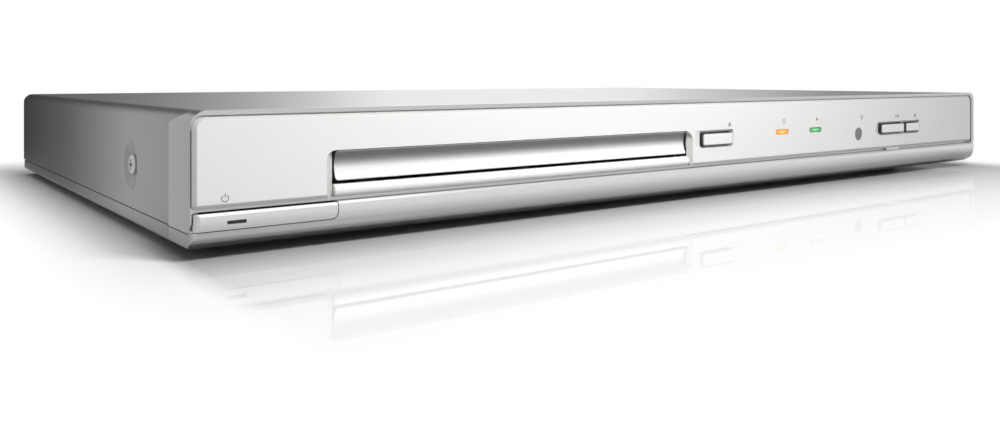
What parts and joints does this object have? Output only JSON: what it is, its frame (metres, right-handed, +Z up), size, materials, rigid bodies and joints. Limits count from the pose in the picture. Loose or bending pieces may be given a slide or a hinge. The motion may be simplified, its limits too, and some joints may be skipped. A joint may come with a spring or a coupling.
{
  "type": "disc player",
  "caption": "Slim full-width disc player with a motorised front tray under a white fascia, bar and key buttons, rear signal sockets.",
  "frame": {"origin": "on the surface that the four feet stand on, below the middle of the whole player", "axes": "+Z up, -Y out of the front fascia, +X to the right as seen from the front"},
  "size_m": [0.435, 0.281, 0.041],
  "materials": {
    "bottom_chassis": "satin",
    "top_cover": "satin",
    "rear_panel": "matte",
    "feet": "matte",
    "cover_side_screws": "polished",
    "cover_rear_screws": "polished",
    "front_frame": "metallic paint",
    "chin_moulding": "metallic paint",
    "fascia_plate": "gloss",
    "tray_sill": "gloss",
    "on_lens": "polished",
    "play_lens": "polished",
    "ir_window": "polished",
    "front_board": "satin",
    "tact_switches": "matte",
    "leds": "gloss",
    "ir_receiver": "gloss",
    "front_board_screws": "satin",
    "loader_frame": "matte",
    "clamp_bridge": "satin",
    "loader_screws": "satin",
    "loading_motor": "satin",
    "drive_belt": "matte",
    "main_board": "satin",
    "power_board": "satin",
    "main_chips": "matte",
    "board_capacitors": "gloss",
    "power_capacitors": "gloss",
    "transformer": "matte",
    "heat_sink": "satin",
    "ac_inlet": "matte",
    "audio_jacks": "matte",
    "video_jacks": "matte",
    "digital_jack": "matte",
    "round_socket": "matte",
    "optical_socket": "matte",
    "board_screws": "satin",
    "ribbon_cable": "matte",
    "tray": "matte",
    "tray_door": "gloss",
    "standby_button": "metallic paint",
    "open_close_button": "gloss",
    "play_pause_button": "gloss",
    "stop_button": "gloss",
    "drive_gear": "matte",
    "pulley_gear": "matte",
    "motor_pulley": "satin",
    "deck_plate": "matte",
    "guide_rods": "polished",
    "spindle_motor": "satin",
    "feed_motor": "satin",
    "cam_slider": "matte",
    "turntable": "matte",
    "pickup_sled": "matte",
    "objective_lens": "polished",
    "feed_gear": "matte",
    "feed_pinion": "satin",
    "clamper": "matte"
  },
  "bodies": {
    "case": {"bottom_chassis": "bottom_chassis", "top_cover": "top_cover", "rear_panel": "rear_panel", "feet": "feet", "cover_side_screws": "cover_side_screws", "cover_rear_screws": "cover_rear_screws", "front_frame": "front_frame", "chin_moulding": "chin_moulding", "fascia_plate": "fascia_plate", "tray_sill": "tray_sill", "on_lens": "on_lens", "play_lens": "play_lens", "ir_window": "ir_window", "front_board": "front_board", "tact_switches": "tact_switches", "leds": "leds", "ir_receiver": "ir_receiver", "front_board_screws": "front_board_screws", "loader_frame": "loader_frame", "clamp_bridge": "clamp_bridge", "loader_screws": "loader_screws", "loading_motor": "loading_motor", "drive_belt": "drive_belt", "main_board": "main_board", "power_board": "power_board", "main_chips": "main_chips", "board_capacitors": "board_capacitors", "power_capacitors": "power_capacitors", "transformer": "transformer", "heat_sink": "heat_sink", "ac_inlet": "ac_inlet", "audio_jacks": "audio_jacks", "video_jacks": "video_jacks", "digital_jack": "digital_jack", "round_socket": "round_socket", "optical_socket": "optical_socket", "board_screws": "board_screws", "ribbon_cable": "ribbon_cable"},
    "tray": {"tray": "tray", "tray_door": "tray_door"},
    "standby_button": {"standby_button": "standby_button"},
    "open_close_button": {"open_close_button": "open_close_button"},
    "play_pause_button": {"play_pause_button": "play_pause_button"},
    "stop_button": {"stop_button": "stop_button"},
    "drive_gear": {"drive_gear": "drive_gear"},
    "pulley_gear": {"pulley_gear": "pulley_gear"},
    "motor_pulley": {"motor_pulley": "motor_pulley"},
    "deck": {"deck_plate": "deck_plate", "guide_rods": "guide_rods", "spindle_motor": "spindle_motor", "feed_motor": "feed_motor"},
    "cam_slider": {"cam_slider": "cam_slider"},
    "turntable": {"turntable": "turntable"},
    "pickup": {"pickup_sled": "pickup_sled", "objective_lens": "objective_lens"},
    "feed_gear": {"feed_gear": "feed_gear"},
    "feed_pinion": {"feed_pinion": "feed_pinion"},
    "clamper": {"clamper": "clamper"}
  },
  "joints": [
    {"name": "tray_slide", "type": "slide", "parent": "case", "child": "tray", "axis": [0, -1, 0], "range_m": [0, 0.137]},
    {"name": "standby_press", "type": "slide", "parent": "case", "child": "standby_button", "axis": [0, 1, 0], "range_m": [0, 0.0005], "stiffness_N_per_m": 500},
    {"name": "open_close_press", "type": "slide", "parent": "case", "child": "open_close_button", "axis": [0, 1, 0], "range_m": [0, 0.0005], "stiffness_N_per_m": 500},
    {"name": "play_pause_press", "type": "slide", "parent": "case", "child": "play_pause_button", "axis": [0, 1, 0], "range_m": [0, 0.0005], "stiffness_N_per_m": 500},
    {"name": "stop_press", "type": "slide", "parent": "case", "child": "stop_button", "axis": [0, 1, 0], "range_m": [0, 0.0005], "stiffness_N_per_m": 500},
    {"name": "drive_gear_spin", "type": "hinge", "parent": "case", "child": "drive_gear", "pos_m": [-0.1543, -0.11453, 0.0149], "axis": [0, 0, 1], "range_deg": [-1, 786]},
    {"name": "pulley_gear_spin", "type": "hinge", "parent": "case", "child": "pulley_gear", "pos_m": [-0.1293, -0.11453, 0.0149], "axis": [0, 0, 1], "range_deg": [-2020, 1]},
    {"name": "motor_pulley_spin", "type": "hinge", "parent": "case", "child": "motor_pulley", "pos_m": [-0.0893, -0.11553, 0.0149], "axis": [0, 0, 1], "range_deg": [-7402, 1]},
    {"name": "deck_tilt", "type": "hinge", "parent": "case", "child": "deck", "pos_m": [-0.0975, 0.03247, 0.0141], "axis": [1, 0, 0], "range_deg": [0, 3]},
    {"name": "cam_slide", "type": "slide", "parent": "case", "child": "cam_slider", "axis": [-1, 0, 0], "range_m": [-0.0005, 0.0145]},
    {"name": "spindle_spin", "type": "hinge", "parent": "deck", "child": "turntable", "pos_m": [-0.0975, -0.06452, 0.0209], "axis": [0, 0, 1], "continuous": true},
    {"name": "sled_slide", "type": "slide", "parent": "deck", "child": "pickup", "axis": [0, 1, 0], "range_m": [0, 0.035]},
    {"name": "feed_gear_spin", "type": "hinge", "parent": "deck", "child": "feed_gear", "pos_m": [-0.0635, -0.02552, 0.0159], "axis": [0, 0, 1], "range_deg": [-288, 1]},
    {"name": "feed_pinion_spin", "type": "hinge", "parent": "deck", "child": "feed_pinion", "pos_m": [-0.0635, -0.00852, 0.0159], "axis": [0, 0, 1], "range_deg": [-1, 411]},
    {"name": "clamper_spin", "type": "hinge", "parent": "case", "child": "clamper", "pos_m": [-0.0975, -0.06452, 0.0309], "axis": [0, 0, 1], "continuous": true}
  ],
  "couplings": [
    {"joint": "drive_gear_spin", "follows": "tray_slide", "rad_per_m": 100},
    {"joint": "pulley_gear_spin", "follows": "tray_slide", "rad_per_m": -257.14},
    {"joint": "motor_pulley_spin", "follows": "tray_slide", "rad_per_m": -942.86},
    {"joint": "cam_slide", "follows": "deck_tilt", "m_per_rad": 0.26738},
    {"joint": "feed_gear_spin", "follows": "sled_slide", "rad_per_m": -142.86},
    {"joint": "feed_pinion_spin", "follows": "sled_slide", "rad_per_m": 204.08}
  ]
}
